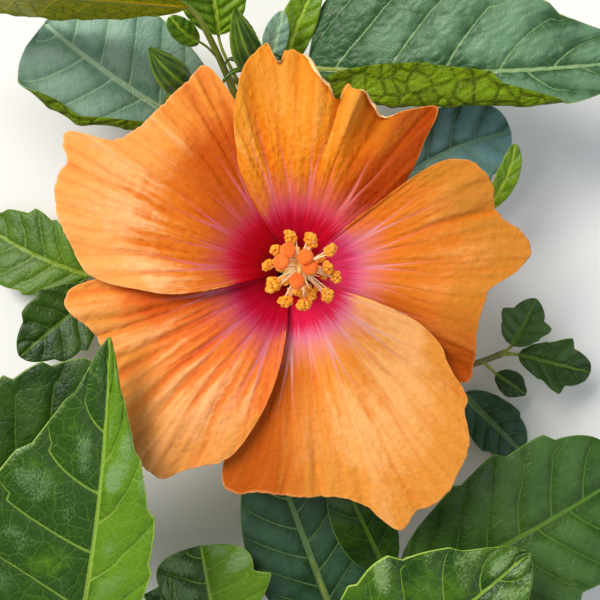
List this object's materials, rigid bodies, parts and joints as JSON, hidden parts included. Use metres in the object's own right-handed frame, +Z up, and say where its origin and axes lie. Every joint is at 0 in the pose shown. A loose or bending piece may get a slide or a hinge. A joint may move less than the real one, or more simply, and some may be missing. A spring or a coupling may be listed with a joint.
{
  "type": "cut hibiscus flowering branch",
  "caption": "Cut hibiscus branch lying down, with an open orange bloom facing up, its stamens and style, glossy toothed leaves, side twigs and closed buds on a woody stem.",
  "frame": {"origin": "middle of the branch's bounding box in plan, on the surface that the branch lies on", "axes": "+Z up, out of the open bloom; +Y along the stem from its flat cut towards the shoot's tip; +X to the right with the bloom seen from above"},
  "size_m": [0.2214, 0.226, 0.1068],
  "materials": {
    "petal": "satin orange petal with a crimson throat and fine radiating veins",
    "pollen": "golden pollen grains on cream filaments",
    "stigma": "velvety orange-red pads on cream styles",
    "green_leaf": "glossy leaf with a pale vein network",
    "blue_green_leaf": "waxy blue-green leaf, puckered between its veins",
    "young_green": "soft bright green of young growth, sepals and bracts",
    "green_twig": "smooth green-brown twig",
    "bark": "grey-brown bark with lenticels, pale wood at the cut"
  },
  "bodies": {
    "root": {"main_stem": "bark", "twig_lower_left": "green_twig", "twig_right": "green_twig", "twig_upper_right": "green_twig", "twig_left": "green_twig", "pedicel": "young_green", "epicalyx": "young_green", "calyx": "young_green", "petal_upper_left": "petal", "petal_top": "petal", "petal_right": "petal", "petal_lower_right": "petal", "petal_lower_left": "petal", "staminal_column": "pollen", "style": "stigma", "leaf_top_right": "blue_green_leaf", "leaf_top_left": "green_leaf", "leaf_upper_left": "blue_green_leaf", "leaf_lower_left": "green_leaf", "leaf_left_behind": "green_leaf", "leaf_bottom": "green_leaf", "leaf_lower_right": "green_leaf", "leaf_bottom_centre": "blue_green_leaf", "leaf_bottom_inner": "green_leaf", "leaf_bottom_left": "green_leaf", "leaf_bottom_left_small": "green_leaf", "leaf_left_low": "green_leaf", "leaf_left_low_small": "green_leaf", "leaf_right_shoot_up": "green_leaf", "leaf_right_shoot_out": "green_leaf", "leaf_right_shoot_small": "green_leaf", "leaf_right_shoot_low": "blue_green_leaf", "leaf_blue_right": "blue_green_leaf", "leaf_pale_right": "young_green", "young_leaf_tall": "young_green", "young_leaf_lobe": "young_green", "young_leaf_pale": "young_green", "young_leaf_blue": "blue_green_leaf", "bud_side": "young_green", "bud_tip": "young_green"}
  },
  "joints": []
}
